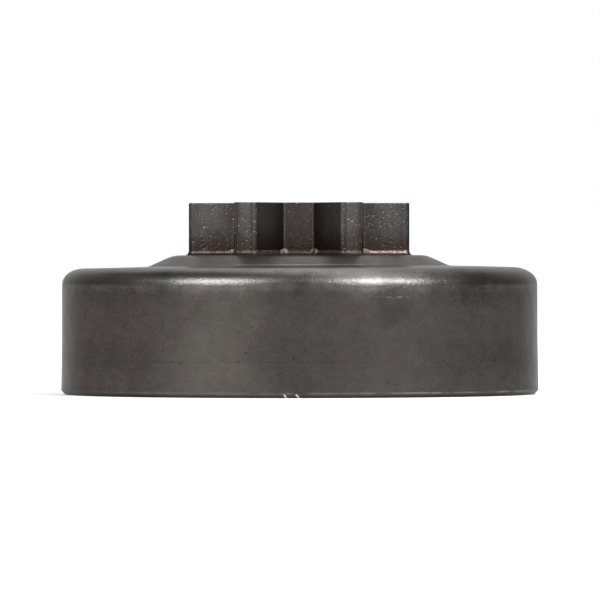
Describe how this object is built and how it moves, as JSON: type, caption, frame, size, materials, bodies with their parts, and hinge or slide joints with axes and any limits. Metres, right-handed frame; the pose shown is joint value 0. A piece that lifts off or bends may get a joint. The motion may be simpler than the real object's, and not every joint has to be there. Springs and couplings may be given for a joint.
{
  "type": "chainsaw clutch drum with spur sprocket",
  "caption": "Drawn steel clutch drum with a toothed spur sprocket brazed to its boss; clutch shoes drive the cup from inside and the teeth pull the saw chain.",
  "frame": {"origin": "centre of the drum's open rim, in the plane that the rim rests on", "axes": "+Z along the shaft axis, from the open rim to the sprocket; +X through the middle of a tooth"},
  "size_m": [0.07, 0.07, 0.028],
  "materials": {
    "drum_steel": "dark satin oxide",
    "sprocket_steel": "dark furnace oxide with a copper flush",
    "copper_braze": "dull run copper"
  },
  "bodies": {
    "root": {"clutch_drum": "drum_steel", "spur_sprocket": "sprocket_steel", "braze_bead": "copper_braze"}
  },
  "joints": []
}
